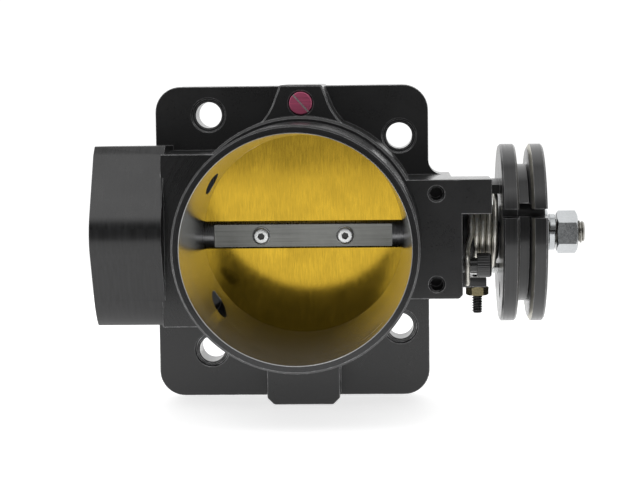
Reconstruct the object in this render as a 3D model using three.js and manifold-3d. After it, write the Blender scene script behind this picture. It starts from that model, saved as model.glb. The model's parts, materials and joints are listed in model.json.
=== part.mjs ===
// A single-blade throttle body, closed at idle. The blade closes a few degrees short of square to the
// bore, top edge towards the inlet, and opens by turning its top edge further that way.
// The bore runs along Y, with the air inlet at -Y and the manifold face at +Y. The shaft runs along X.
// Everything is laid out around the point where the shaft crosses the bore axis, and the finished
// group is then shifted so that the origin is the centre of the bore on the manifold face.
import * as THREE from 'three';
import Module from 'manifold-3d';
import { mergeVertices } from 'three/addons/utils/BufferGeometryUtils.js';

const wasm = await Module();
wasm.setup();

// ---- driving dimensions, mm ----
const GAP = 0.3;                 // between pieces that touch
const BORE_R = 35;               // 70 mm bore at the blade
const INLET_R = 37.5;            // the bore opens to this at the lip
const BARREL_R = 40.2;           // outside of the inlet barrel
const COLLAR_R = 42;             // outside of the body behind the barrel
const LIP_Y = -62;               // inlet face
const FACE_Y = -25.7;            // front face of the two side blocks
const TAPER_END_Y = -6;          // the taper has run out here
const FLANGE_FRONT_Y = 7;
const FLANGE_BACK_Y = 22;        // manifold face
const FLANGE = { left: -52.5, right: 44.2, bottom: -58.5, top: 52, corner: 9 };
const BOLT_HOLE_R = 4.6;
const SPOT_R = 5.8;
const SPOT_DEPTH = 1.2;
const BOLTS = [[-33.6, 41.9], [33.9, 34], [33.9, -34], [-33.6, -41.9]];
const DRUM = { left: -70.7, right: -46.3, top: 32.2, bottom: -29.7, back: 17, backTop: 31 };
const NOSE = { y: -20.5, z: 2, r: 14.5, upperSlope: 31, lowerSlope: 24.5 };   // its round front
const LEFT_BLOCK_Z = 29.5;
const RIGHT_BLOCK = { right: 55, bottom: -20.4, top: 20.2, earRight: 52 };
const ARM = { right: 65, bottom: 8.4, back: -7 };
const TOP_BOSS = {
  x: 0.4, z: 46.3, half: 7.6, top: 52.5, front: -20, footHalf: 14.5, footZ: 39, waist: 10.4,
};
const PORTS = [{ y: -18, z: 19.5, r: 3.6 }, { y: -18, z: -22.3, r: 4.1 }];
const PORT_END_X = -33;
const DRILLING = { r: 3.8, y: -23, back: 8, front: -25, lean: 25 };   // from the bore, slanting to a port
const DRILLED_AT = [[-30.1, 19.3], [-28.3, -21.8]];
const SENSOR_HOLES = [[9, 25], [9, -25], [-24.5, 6], [12, -14], [12, 14]];
const SENSOR_HOLE = { r: 1.7, depth: 9 };
const BRACKET = { x: 46.2, z: 15.4, r: 2.2, depth: 14, mouthR: 2.9, mouthDepth: 0.7 };
const TAB = { left: -13.3, right: 12.4, bottom: -60, front: -5, corner: 2.4 };

const SHAFT_R = 5;
const JOURNAL_R = 4;             // shaft inside the bearings and the pulley, threaded M8 at its end
const SHAFT_FLAT_Y = 3.1;        // half thickness where the shaft is milled flat across the bore
const FLAT_END_X = 31.2;
const SHAFT_LEFT_X = -70;
const SHAFT_RIGHT_X = 98.3;
const BLADE = { r: 34.7, t: 1.8, tilt: 5 };
const BLADE_SCREW_X = 14.7;
const BLADE_SCREW_R = 2;
const BEARING = { bore: 4.3, out: 11, width: 7, ballR: 1.9, pitchR: 7.6, balls: 8 };
const BEARING_X = [-61.7, 50];   // middles of the two bearings
const SEAL = { r: 8, width: 3 };
const CLIP = { r: 11.6, inner: 9.4, width: 1 };
const RECESS = { r: 15, depth: 4 };
const SPACER_R = 5.3;
const BUSH = { r: 9.6, split: 62, chamfer: 0.6 };
const BYPASS = { r: 3.85, length: 15, waistR: 2.9, slotHalf: 0.45, slotDepth: 0.9, slotAngle: 49 };

const PULLEY = { left: 68.46, grooveLeft: 73.9, grooveRight: 78.2, right: 83.5, r: 31, floorR: 24 };
const SLOT = { z: 8.7, width: 3, depthY: -21.5, endR: 3.1 };
const LUG = { inner: 16.2, outer: 19, left: 65.5, half: 8 };
const LIGHTENING = { r: 3, orbit: 20.5, angles: [252, 18] };
const SPRING = { meanR: 11.4, wireR: 0.95, start: 58.3, end: 67.2, turns: 4.25, rise: 3.2 };
const SPRING_END_ANGLE = 180 - SPRING.turns * 360;
const STOP_PIN = { r: 2, orbit: 14.85, angle: -62, left: 58.6, sunk: 3.6 };
const IDLE_SCREW = { x: 61.2, y: 7, r: 1.9, top: -15.5, bottom: -29.2 };
const STOP_BOSS = { right: 64.2, front: 0, back: 14, top: -15.9, bottom: -19.4 };
const SHELF = { right: 58.2, top: -13 };   // fills in beside the stop pin's left end
const FULL_STOP = { right: 63, front: 11, bottom: 8.3 };   // what the stop pin meets when wide open
const ANCHOR = {
  y: -15.5, z: -9.9, r: 2.5, tip: 44, headR: 4.2, headLeft: 60.2, headRight: 65.1, socketR: 2.3,
};
const NUT_SEAT_R = 8.6;
const PULLEY_WASHER = { r: 8, thickness: 2.2, sunk: 0.3 };
const LOCK_WASHER = { r: 6.4, from: 85.8, to: 88.1, split: 0.6 };
const SHAFT_NUT = { acrossFlats: 13, from: 88.5, to: 95.8 };
const IDLE_NUT = { acrossFlats: 7, height: 3.2 };
const FINE = 72;                 // facets round the bore and the barrel
const MID = 24;                  // and round shafts, rings and bolt holes
const SMALL = 14;

// ---- materials ----
function finish(color, roughness, metalness) {
  return new THREE.MeshStandardMaterial({ color, roughness, metalness });
}
const blackAnodised = () => finish(0x1b1b1d, 0.45, 0.6);
const brass = () => finish(0xc9a23a, 0.35, 1);
const shaftSteel = () => finish(0x77777a, 0.4, 1);
const brightSteel = () => finish(0xa9a9ab, 0.3, 1);
const springSteel = () => finish(0x8c877c, 0.35, 1);
const blackOxide = () => finish(0x141414, 0.5, 0.7);
const yellowZinc = () => finish(0x8f8155, 0.35, 1);
const rubber = () => finish(0x0d0d0d, 0.8, 0);
const nylon = () => finish(0x17171a, 0.6, 0);
const roseAnodised = () => finish(0x8e2f55, 0.4, 0.6);

// ---- making and cutting solids ----
function solid(geometry) {
  const bare = geometry.clone();
  bare.deleteAttribute('normal');
  bare.deleteAttribute('uv');
  const merged = mergeVertices(bare, 1e-4);
  const vertProperties = new Float32Array(merged.attributes.position.array);
  const triVerts = new Uint32Array(merged.index.array);
  return new wasm.Manifold(new wasm.Mesh({ numProp: 3, vertProperties, triVerts }));
}

function geometryOf(shape) {
  const mesh = shape.getMesh();
  const geometry = new THREE.BufferGeometry();
  geometry.setAttribute('position', new THREE.BufferAttribute(new Float32Array(mesh.vertProperties), 3));
  geometry.setIndex(new THREE.BufferAttribute(new Uint32Array(mesh.triVerts), 1));
  return geometry;
}

function unite(pieces) {
  return pieces.reduce((whole, piece) => whole.add(piece));
}

function cut(shape, tools) {
  return tools.reduce((rest, tool) => rest.subtract(tool), shape);
}

function block(low, high) {
  const size = high.map((value, i) => value - low[i]);
  const box = new THREE.BoxGeometry(...size);
  box.translate(...low.map((value, i) => value + size[i] / 2));
  return solid(box);
}

// a round bar along 'x', 'y' or 'z' between two stations, centred on the other two coordinates
function barGeometry(axis, r, from, to, [a, b] = [0, 0], facets = MID, endR = r) {
  const bar = new THREE.CylinderGeometry(endR, r, to - from, facets);
  bar.translate(0, (from + to) / 2, 0);
  if (axis === 'x') {
    bar.rotateZ(-Math.PI / 2);
    bar.translate(0, a, b);
  } else if (axis === 'z') {
    bar.rotateX(Math.PI / 2);
    bar.translate(a, b, 0);
  } else {
    bar.translate(a, 0, b);
  }
  return bar;
}

function bar(...args) {
  return solid(barGeometry(...args));
}

// a body turned about Y from a closed outline of [radius, y]
function turnedY(outline, facets = FINE) {
  const points = outline.map(([r, y]) => new THREE.Vector2(r, y));
  return new THREE.LatheGeometry(points, facets);
}

// a body turned about X from a closed outline of [radius, x]
function turnedX(outline, facets = MID) {
  const turned = turnedY(outline, facets);
  turned.rotateZ(-Math.PI / 2);
  return turned;
}

// the closed outline of a ring of rectangular section
function ringOutline(inner, outer, from, to, chamfer = 0) {
  if (chamfer === 0) return [[inner, from], [outer, from], [outer, to], [inner, to], [inner, from]];
  return [
    [inner, from], [outer - chamfer, from], [outer, from + chamfer],
    [outer, to - chamfer], [outer - chamfer, to], [inner, to], [inner, from],
  ];
}

// an outline drawn in X and Z, made solid between two stations on Y
function slab(shape, from, to, curveSegments = 5) {
  const plate = new THREE.ExtrudeGeometry(shape, { depth: to - from, bevelEnabled: false, curveSegments });
  plate.rotateX(Math.PI / 2);
  plate.translate(0, to, 0);
  return solid(plate);
}

function roundedOutline(left, right, bottom, top, r) {
  const shape = new THREE.Shape();
  shape.moveTo(left + r, bottom);
  shape.lineTo(right - r, bottom);
  shape.absarc(right - r, bottom + r, r, -Math.PI / 2, 0);
  shape.lineTo(right, top - r);
  shape.absarc(right - r, top - r, r, 0, Math.PI / 2);
  shape.lineTo(left + r, top);
  shape.absarc(left + r, top - r, r, Math.PI / 2, Math.PI);
  shape.lineTo(left, bottom + r);
  shape.absarc(left + r, bottom + r, r, Math.PI, 1.5 * Math.PI);
  return shape;
}

// a hexagonal bar along an axis with its corners turned off at both ends
function hexNut(axis, acrossFlats, from, to, centre, holeR) {
  const cornerR = acrossFlats / Math.sqrt(3);
  const bevel = (cornerR - acrossFlats / 2) * 0.9;
  const middle = bar(axis, cornerR, from, to, centre, 6);
  const turned = unite([
    bar(axis, acrossFlats / 2, from, from + bevel, centre, MID, cornerR),
    bar(axis, cornerR, from + bevel, to - bevel, centre, MID),
    bar(axis, cornerR, to - bevel, to, centre, MID, acrossFlats / 2),
  ]);
  return middle.intersect(turned).subtract(bar(axis, holeR, from - 1, to + 1, centre, SMALL));
}

const around = (radius, degrees) => {
  const angle = THREE.MathUtils.degToRad(degrees);
  return [radius * Math.cos(angle), radius * Math.sin(angle)];
};

// ---- the billet body ----
function boreCutter() {
  return solid(turnedY([
    [0, LIP_Y - 1], [INLET_R, LIP_Y - 1], [INLET_R, LIP_Y], [BORE_R, TAPER_END_Y],
    [BORE_R, FLANGE_BACK_Y + 1], [0, FLANGE_BACK_Y + 1],
  ]));
}

function barrel() {
  const chamfer = 0.6;
  return solid(turnedY([
    [0, LIP_Y], [BARREL_R - chamfer, LIP_Y], [BARREL_R, LIP_Y + chamfer], [BARREL_R, FACE_Y],
    [COLLAR_R - chamfer, FACE_Y], [COLLAR_R, FACE_Y + chamfer], [COLLAR_R, FLANGE_BACK_Y - 1],
    [0, FLANGE_BACK_Y - 1],
  ]));
}

function flange() {
  const { left, right, bottom, top, corner } = FLANGE;
  const plate = slab(roundedOutline(left, right, bottom, top, corner), FLANGE_FRONT_Y, FLANGE_BACK_Y);
  const holes = BOLTS.flatMap((centre) => [
    bar('y', BOLT_HOLE_R, FLANGE_FRONT_Y - 1, FLANGE_BACK_Y + 1, centre),
    bar('y', SPOT_R, FLANGE_FRONT_Y - 1, FLANGE_FRONT_Y + SPOT_DEPTH, centre),
  ]);
  return { plate, holes };
}

// a round nose runs out into a flat slope above and below, and the top falls slightly to the back
function drum() {
  const { left, right, top, bottom, back, backTop } = DRUM;
  const toRadians = THREE.MathUtils.degToRad;
  const side = new THREE.Shape();
  side.moveTo(back, bottom);
  side.lineTo(back, backTop);
  side.lineTo(-17.5, top);
  side.lineTo(-21.2, 29.3);
  side.absarc(NOSE.y, NOSE.z, NOSE.r, toRadians(180 - NOSE.upperSlope), toRadians(180 + NOSE.lowerSlope));
  side.lineTo(-26.2, -19.6);
  side.quadraticCurveTo(-22.5, -26.5, -17.5, bottom);
  const options = { depth: right - left, bevelEnabled: false, curveSegments: 10 };
  const bulk = new THREE.ExtrudeGeometry(side, options);
  bulk.rotateX(Math.PI / 2);
  bulk.rotateZ(Math.PI / 2);
  bulk.translate(left, 0, 0);
  return solid(bulk);
}

function topBoss() {
  const { x, half, top, front, footHalf, footZ, waist } = TOP_BOSS;
  const corner = 1.2;
  const shoulder = half + 1.3;
  const shoulderZ = top - 4.5;
  const waistZ = footZ + 4;
  const shape = new THREE.Shape();
  shape.moveTo(x - footHalf, footZ);
  shape.lineTo(x + footHalf, footZ);
  shape.quadraticCurveTo(x + waist, waistZ, x + shoulder, shoulderZ);
  shape.lineTo(x + half, top - corner);
  shape.quadraticCurveTo(x + half, top, x + half - corner, top);
  shape.lineTo(x - half + corner, top);
  shape.quadraticCurveTo(x - half, top, x - half, top - corner);
  shape.lineTo(x - shoulder, shoulderZ);
  shape.quadraticCurveTo(x - waist, waistZ, x - footHalf, footZ);
  return slab(shape, front, FLANGE_BACK_Y);
}

// the concave round in the corner between the flange's right edge and the right block
function filletPost(x, z, r, toX, toZ) {
  const sink = 1.5;
  const xs = [x - toX * sink, x + toX * r].sort((a, b) => a - b);
  const zs = [z - toZ * sink, z + toZ * r].sort((a, b) => a - b);
  const round = bar('y', r, FLANGE_FRONT_Y - 1, FLANGE_BACK_Y + 1, [x + toX * r, z + toZ * r]);
  return block([xs[0], FLANGE_FRONT_Y, zs[0]], [xs[1], FLANGE_BACK_Y, zs[1]]).subtract(round);
}

function rightBlock() {
  const { right, bottom, top, earRight } = RIGHT_BLOCK;
  const chamfer = 1.2;
  const outline = new THREE.Shape();
  outline.moveTo(20, bottom);
  outline.lineTo(right - chamfer, bottom);
  outline.lineTo(right, bottom + chamfer);
  outline.lineTo(right, top);
  outline.lineTo(20, top);
  const springRoom = SPRING.meanR + SPRING.wireR + 1.2;
  return unite([
    slab(outline, FACE_Y, ARM.back),
    block([20, ARM.back - 1, bottom], [earRight, FLANGE_BACK_Y, top]),
    block([40, ARM.back - 1, bottom + 0.5], [right, STOP_BOSS.back + 3, 17]),
    block([right - 2, FACE_Y, ARM.bottom], [ARM.right, ARM.back, top])
      .subtract(bar('x', springRoom, right, ARM.right + 1, [0, 0])),
    filletPost(FLANGE.right, top, 5, 1, 1),
    filletPost(FLANGE.right, bottom, 3, 1, -1),
    block([right - 3, STOP_BOSS.front, STOP_BOSS.bottom], [STOP_BOSS.right, STOP_BOSS.back, STOP_BOSS.top]),
    block([right - 3, STOP_BOSS.front, STOP_BOSS.bottom + 1], [SHELF.right, STOP_BOSS.back, SHELF.top]),
    block([right - 3, FULL_STOP.front, FULL_STOP.bottom], [FULL_STOP.right, STOP_BOSS.back + 2.5, 16]),
  ]);
}

function shaftLineCutters() {
  const [leftBearing, rightBearing] = BEARING_X;
  const half = BEARING.width / 2;
  const pocketR = BEARING.out + GAP;
  const recessFloor = DRUM.left + RECESS.depth;
  return [
    bar('x', SHAFT_R + GAP, DRUM.left - 1, RIGHT_BLOCK.right + 1),
    bar('x', RECESS.r, DRUM.left - 1, recessFloor),
    bar('x', pocketR, recessFloor - 1, leftBearing + half + GAP),
    bar('x', SEAL.r + GAP, leftBearing, leftBearing + half + SEAL.width + 3 * GAP),
    bar('x', pocketR, rightBearing - half - GAP, RIGHT_BLOCK.right + 1),
    bar('x', SEAL.r + GAP, rightBearing - half - SEAL.width - 3 * GAP, rightBearing),
  ];
}

function portCutters() {
  const outside = DRUM.left - 1;
  const sensorHoleEnd = DRUM.left + SENSOR_HOLE.depth;
  const bracketHoles = [BRACKET.z, -BRACKET.z].flatMap((z) => [
    bar('y', BRACKET.r, FACE_Y - 1, FACE_Y + BRACKET.depth, [BRACKET.x, z], SMALL),
    bar('y', BRACKET.mouthR, FACE_Y - 1, FACE_Y + BRACKET.mouthDepth, [BRACKET.x, z], SMALL),
  ]);
  const bypassAt = [TOP_BOSS.x, TOP_BOSS.z];
  const idleAt = [IDLE_SCREW.x, IDLE_SCREW.y];
  const bypassEnd = TOP_BOSS.front + BYPASS.length + 1.5;
  const crossHole = { r: 2, y: -6.5 };
  const drilling = bar('y', DRILLING.r, DRILLING.front, DRILLING.back).rotate([0, 0, DRILLING.lean]);
  return [
    ...PORTS.map(({ y, z, r }) => bar('x', r, outside, PORT_END_X, [y, z], SMALL)),
    ...DRILLED_AT.map(([x, z]) => drilling.translate([x, DRILLING.y, z])),
    ...SENSOR_HOLES.map((at) => bar('x', SENSOR_HOLE.r, outside, sensorHoleEnd, at, SMALL)),
    ...bracketHoles,
    bar('y', BYPASS.r + GAP, TOP_BOSS.front - 1, bypassEnd, bypassAt, SMALL),
    bar('z', crossHole.r, BORE_R - 2, TOP_BOSS.z, [TOP_BOSS.x, crossHole.y], SMALL),
    bar('x', ANCHOR.r + GAP, ANCHOR.tip - 1, RIGHT_BLOCK.right + 1, [ANCHOR.y, ANCHOR.z], SMALL),
    bar('z', IDLE_SCREW.r + GAP, STOP_BOSS.bottom - 1, STOP_BOSS.top + 1, idleAt, SMALL),
  ];
}

function mainBody() {
  const { plate, holes } = flange();
  const whole = unite([
    barrel(),
    plate,
    block([DRUM.right - 1, FACE_Y, -LEFT_BLOCK_Z], [0, FLANGE_FRONT_Y + 1, LEFT_BLOCK_Z]),
    drum(),
    topBoss(),
    rightBlock(),
    slab(roundedOutline(TAB.left, TAB.right, TAB.bottom, -30, TAB.corner), TAB.front, FLANGE_BACK_Y, 1),
  ]);
  return cut(whole, [boreCutter(), ...holes, ...shaftLineCutters(), ...portCutters()]);
}

// ---- the shaft, the blade and its screws ----
const tilted = (shape) => shape.rotate([BLADE.tilt, 0, 0]);

// a flat on each side of a round bar, as the pieces to cut away
function flatCutters(from, to, halfThickness) {
  const reach = SHAFT_R + 1;
  return [
    block([from, halfThickness, -reach], [to, reach, reach]),
    block([from, -reach, -reach], [to, -halfThickness, reach]),
  ];
}

function shaft() {
  const [leftBearing, rightBearing] = BEARING_X;
  const half = BEARING.width / 2;
  const leftStep = leftBearing + half;
  const rightStep = rightBearing - half;
  const chamfer = 0.6;
  const tang = { half: 1.25, right: leftBearing - half - 1.5 };
  const driveHalf = 3.2;
  const outline = [
    [0, SHAFT_LEFT_X], [JOURNAL_R - chamfer, SHAFT_LEFT_X], [JOURNAL_R, SHAFT_LEFT_X + chamfer],
    [JOURNAL_R, leftStep], [SHAFT_R, leftStep], [SHAFT_R, rightStep], [JOURNAL_R, rightStep],
    [JOURNAL_R, SHAFT_RIGHT_X - chamfer], [JOURNAL_R - chamfer, SHAFT_RIGHT_X], [0, SHAFT_RIGHT_X],
  ];
  const slotHalf = BLADE.t / 2 + GAP;
  const acrossBore = [
    block([-BORE_R, -slotHalf, -SHAFT_R - 1], [BORE_R, slotHalf, SHAFT_R + 1]),
    ...flatCutters(-FLAT_END_X, FLAT_END_X, SHAFT_FLAT_Y),
    ...[-1, 1].map((side) =>
      bar('y', BLADE_SCREW_R + GAP, -SHAFT_R - 1, SHAFT_R + 1, [side * BLADE_SCREW_X, 0], SMALL)),
  ];
  return cut(solid(turnedX(outline)), [
    ...acrossBore.map(tilted),
    ...flatCutters(SHAFT_LEFT_X - 1, tang.right, tang.half),
    ...flatCutters(PULLEY.left, PULLEY.right, driveHalf),
  ]);
}

// a slice across a round bar that fills the bore, so that its rim lies along the bore wall
function blade() {
  const half = BLADE.t / 2;
  const reach = BORE_R + 2;
  const slice = block([-reach, -half, -reach], [reach, half, reach]);
  const holes = [-1, 1].map((side) =>
    bar('y', BLADE_SCREW_R + GAP, -5, 5, [side * BLADE_SCREW_X, 0], SMALL));
  return tilted(cut(slice, holes)).intersect(bar('y', BLADE.r, -8, 8, [0, 0], FINE));
}

function bladeScrew(side) {
  const seat = -SHAFT_FLAT_Y - GAP;
  const head = { r: 3.15, brim: 0.3, height: 1.5, crownR: 1.7, shoulderR: 2.6, shoulder: 1.1 };
  const turned = solid(turnedY([
    [0, seat - head.height], [head.crownR, seat - head.height], [head.shoulderR, seat - head.shoulder],
    [head.r, seat - head.brim], [head.r, seat], [BLADE_SCREW_R, seat], [BLADE_SCREW_R, SHAFT_FLAT_Y],
    [0, SHAFT_FLAT_Y],
  ], SMALL));
  const socket = bar('y', 1.25, seat - 2 * head.height, seat - 0.4, [0, 0], 6);
  return tilted(turned.subtract(socket).translate([side * BLADE_SCREW_X, 0, 0]));
}

// ---- bearings, seals and retaining rings ----
function bearingRing(middle, inner, outer) {
  const half = BEARING.width / 2;
  const track = 1.0;
  const race = (inner + outer) / 2 < BEARING.pitchR;
  const wall = race ? outer : inner;
  const groove = race ? outer - track : inner + track;
  const back = race ? inner : outer;
  return [
    [back, middle - half], [wall, middle - half], [wall, middle - 1.6], [groove, middle - 0.7],
    [groove, middle + 0.7], [wall, middle + 1.6], [wall, middle + half], [back, middle + half],
    [back, middle - half],
  ];
}

function orient(outline) {
  const area = outline.slice(1).reduce((sum, [r, x], i) => sum + outline[i][0] * x - r * outline[i][1], 0);
  return area > 0 ? outline : [...outline].reverse();
}

// the balls and the crown cage that spaces them, as one rolling set
function ballSet(middle) {
  const step = 360 / BEARING.balls;
  const balls = Array.from({ length: BEARING.balls }, (_, i) => {
    const ball = new THREE.SphereGeometry(BEARING.ballR - GAP, 6, 4);
    ball.translate(middle, ...around(BEARING.pitchR, i * step));
    return solid(ball);
  });
  const cage = ringOutline(BEARING.pitchR - 0.5, BEARING.pitchR + 0.5, middle - 0.6, middle + 2.2);
  return unite([solid(turnedX(orient(cage))), ...balls]);
}

function retainingRing(from) {
  const ring = solid(turnedX(orient(ringOutline(CLIP.inner, BEARING.out - GAP, from, from + CLIP.width))));
  return ring.subtract(block([from - 1, 0, -2.4], [from + CLIP.width + 1, 15, 2.4]));
}

function sealRing(from) {
  return solid(turnedX(orient(ringOutline(SHAFT_R + GAP, SEAL.r, from, from + SEAL.width))));
}

// ---- the pulley side ----
function pulley() {
  const { left, grooveLeft, grooveRight, right, r, floorR } = PULLEY;
  const rim = 0.8;
  const flare = 1.6;
  const rounds = solid(turnedX([
    [0, left], [r - rim, left], [r, left + rim], [r, grooveLeft - rim], [r - rim, grooveLeft],
    [floorR, grooveLeft], [floorR, grooveRight], [r - flare, grooveRight], [r, grooveRight + 1],
    [r, right - rim], [r - rim, right], [0, right],
  ], FINE));
  const lug = solid(turnedX(orient(ringOutline(LUG.inner, LUG.outer, LUG.left, left + 0.5)), MID))
    .intersect(block([LUG.left - 1, -LUG.half, 0], [left + 1, LUG.half, LUG.outer + 1]));
  const flatHalf = 3.5;
  const shaftHole = bar('x', JOURNAL_R + GAP, left - 5, right + 1)
    .intersect(block([left - 5, -flatHalf, -5], [right + 1, flatHalf, 5]));
  const slotHalf = SLOT.width / 2;
  const pinAt = around(STOP_PIN.orbit, STOP_PIN.angle);
  const legAt = around(SPRING.meanR + SPRING.rise, SPRING_END_ANGLE);
  return cut(rounds.add(lug), [
    shaftHole,
    block([left - 1, -r - 1, SLOT.z - slotHalf], [right + 1, SLOT.depthY, SLOT.z + slotHalf]),
    bar('x', SLOT.endR, grooveLeft, right + 1, [SLOT.depthY + slotHalf, SLOT.z], SMALL),
    bar('x', STOP_PIN.r + GAP, left - 1, left + STOP_PIN.sunk + GAP, pinAt, SMALL),
    bar('x', SPRING.wireR + GAP, left - 1, left + 3, legAt, SMALL),
    ...LIGHTENING.angles.map((angle) =>
      bar('x', LIGHTENING.r, left - 1, right + 1, around(LIGHTENING.orbit, angle), SMALL)),
    bar('x', NUT_SEAT_R, right - PULLEY_WASHER.sunk - GAP, right + 1),
  ]);
}

// the route of the spring wire: hooked leg, close coils that rise over the last half turn, short leg
function springRoute() {
  const { meanR, start, end, turns, rise } = SPRING;
  const legX = RIGHT_BLOCK.right + 1.8;
  const bendR = ANCHOR.r + SPRING.wireR + 0.65;
  const legEndZ = -16.2;
  const points = [[legX, ANCHOR.y - bendR, legEndZ], [legX, ANCHOR.y - bendR, legEndZ + 3]];
  for (const degrees of [180, 150, 120, 95]) {
    const [dy, dz] = around(bendR, degrees);
    points.push([legX, ANCHOR.y + dy, ANCHOR.z + dz]);
  }
  points.push([legX + 0.4, -13, -3.2]);
  const steps = Math.round(turns * 16);
  for (let i = 0; i <= steps; i += 1) {
    const along = i / steps;
    const lastHalfTurn = Math.max(0, 1 - 2 * turns * (1 - along));
    const r = meanR + rise * lastHalfTurn ** 2;
    points.push([start + (end - start) * along, ...around(r, 180 - turns * 360 * along)]);
  }
  const pulleyLeg = around(meanR + rise, SPRING_END_ANGLE);
  points.push([end + 1.4, ...pulleyLeg], [end + 3.4, ...pulleyLeg]);
  return new THREE.CatmullRomCurve3(points.map((p) => new THREE.Vector3(...p)), false, 'centripetal');
}

function returnSpring() {
  const section = new THREE.Shape();
  section.absarc(0, 0, SPRING.wireR, 0, 2 * Math.PI);
  return new THREE.ExtrudeGeometry(section, {
    steps: 88, curveSegments: 4, bevelEnabled: false, extrudePath: springRoute(),
  });
}

function lockWasher() {
  const { r, from, to, split } = LOCK_WASHER;
  const ring = solid(turnedX(orient(ringOutline(JOURNAL_R + GAP, r, from, to)), MID));
  return ring.subtract(block([from - 1, -r - 1, -1], [to + 1, -JOURNAL_R + 1, -1 + split]));
}

function capScrew() {
  const { y, z, r, tip, headR, headLeft, headRight, socketR } = ANCHOR;
  const rim = 0.5;
  const socketDepth = 2.5;
  const outline = [
    [0, tip], [r, tip], [r, headLeft], [headR, headLeft], [headR, headRight - rim],
    [headR - rim, headRight], [0, headRight],
  ];
  const socket = bar('x', socketR, headRight - socketDepth, headRight + 1, [0, 0], 6);
  return solid(turnedX(outline, SMALL)).subtract(socket).translate([0, y, z]);
}

function idleStopScrew() {
  const { x, y, r, top, bottom } = IDLE_SCREW;
  const chamfer = 0.5;
  const rod = solid(turnedY([
    [0, bottom], [r - chamfer, bottom], [r, bottom + chamfer], [r, top - chamfer], [r - chamfer, top],
    [0, top],
  ], SMALL).rotateX(Math.PI / 2));
  return rod.subtract(bar('z', r / 2, bottom - 1, bottom + 2, [0, 0], 6)).translate([x, y, 0]);
}

function bypassScrew() {
  const { r, length, waistR, slotHalf, slotDepth, slotAngle } = BYPASS;
  const front = TOP_BOSS.front;
  const slot = block([-r - 1, front - 1, -slotHalf], [r + 1, front + slotDepth, slotHalf]);
  const screw = solid(turnedY([
    [0, front - 0.4], [r - 0.3, front - 0.4], [r, front], [r, front + 5.4], [waistR, front + 5.4],
    [waistR, front + 7.8], [r, front + 7.8], [r, front + 11], [1.2, front + length], [0, front + length],
  ], MID));
  return screw.subtract(slot.rotate([0, slotAngle, 0])).translate([TOP_BOSS.x, 0, TOP_BOSS.z]);
}

function bypassSeal() {
  const { r, waistR } = BYPASS;
  const front = TOP_BOSS.front;
  const ring = turnedY(orient(ringOutline(waistR + 0.2, r - 0.05, front + 5.8, front + 7.4)), MID);
  ring.translate(TOP_BOSS.x, 0, TOP_BOSS.z);
  return ring;
}

// ---- putting it together ----
const throttleBody = new THREE.Group();
throttleBody.position.y = -FLANGE_BACK_Y;

function place(name, material, shape) {
  const geometry = shape.isBufferGeometry ? shape : geometryOf(shape);
  const mesh = new THREE.Mesh(geometry, material);
  mesh.name = name;
  throttleBody.add(mesh);
}

place('main_body', blackAnodised(), mainBody());
place('throttle_shaft', shaftSteel(), shaft());
place('throttle_blade', brass(), blade());
['left', 'right'].forEach((side, i) => {
  const middle = BEARING_X[i];
  const half = BEARING.width / 2;
  const outward = i === 0 ? -1 : 1;
  const innerOutline = orient(bearingRing(middle, BEARING.bore, BEARING.pitchR - BEARING.ballR + 0.9));
  const outerOutline = orient(bearingRing(middle, BEARING.pitchR + BEARING.ballR - 0.9, BEARING.out));
  const clipFrom = i === 0 ? middle - half - GAP - CLIP.width : middle + half + GAP;
  const sealFrom = i === 0 ? middle + half + 2 * GAP : middle - half - 2 * GAP - SEAL.width;
  place(`blade_screw_${side}`, brightSteel(), bladeScrew(outward));
  place(`bearing_outer_race_${side}`, brightSteel(), turnedX(outerOutline));
  place(`bearing_inner_race_${side}`, brightSteel(), turnedX(innerOutline));
  place(`bearing_ball_set_${side}`, brightSteel(), ballSet(middle));
  place(`retaining_ring_${side}`, blackOxide(), retainingRing(clipFrom));
  place(`shaft_seal_${side}`, rubber(), sealRing(sealFrom));
});

const spacerStart = BEARING_X[1] + BEARING.width / 2 + GAP;
const spacerEnd = PULLEY.left - GAP;
const bushInner = SPACER_R + GAP;
const washerFrom = PULLEY.right - PULLEY_WASHER.sunk;
const washerTo = washerFrom + PULLEY_WASHER.thickness;
const pinEnd = PULLEY.left + STOP_PIN.sunk;
const pinAt = around(STOP_PIN.orbit, STOP_PIN.angle);
const idleAt = [IDLE_SCREW.x, IDLE_SCREW.y];
const nutTop = STOP_BOSS.bottom - GAP;
place('shaft_spacer', shaftSteel(),
  turnedX(orient(ringOutline(JOURNAL_R + GAP, SPACER_R, spacerStart, spacerEnd))));
place('spring_bush_inner', nylon(),
  turnedX(orient(ringOutline(bushInner, BUSH.r, RIGHT_BLOCK.right + GAP, BUSH.split - GAP, BUSH.chamfer))));
place('spring_bush_outer', nylon(),
  turnedX(orient(ringOutline(bushInner, BUSH.r, BUSH.split, spacerEnd, BUSH.chamfer))));
place('return_spring', springSteel(), returnSpring());
place('cable_pulley', blackAnodised(), pulley());
place('stop_pin', brightSteel(), bar('x', STOP_PIN.r, STOP_PIN.left, pinEnd, pinAt, SMALL));
place('pulley_washer', brightSteel(),
  turnedX(orient(ringOutline(JOURNAL_R + GAP, PULLEY_WASHER.r, washerFrom, washerTo, 0.3))));
place('lock_washer', brightSteel(), lockWasher());
place('shaft_nut', brightSteel(),
  hexNut('x', SHAFT_NUT.acrossFlats, SHAFT_NUT.from, SHAFT_NUT.to, [0, 0], JOURNAL_R + GAP));
place('spring_anchor_screw', blackOxide(), capScrew());
place('idle_stop_screw', blackOxide(), idleStopScrew());
place('idle_stop_nut', yellowZinc(),
  hexNut('z', IDLE_NUT.acrossFlats, nutTop - IDLE_NUT.height, nutTop, idleAt, IDLE_SCREW.r + GAP));
place('idle_bypass_screw', roseAnodised(), bypassScrew());
place('bypass_screw_seal', rubber(), bypassSeal());

export default throttleBody;
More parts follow.
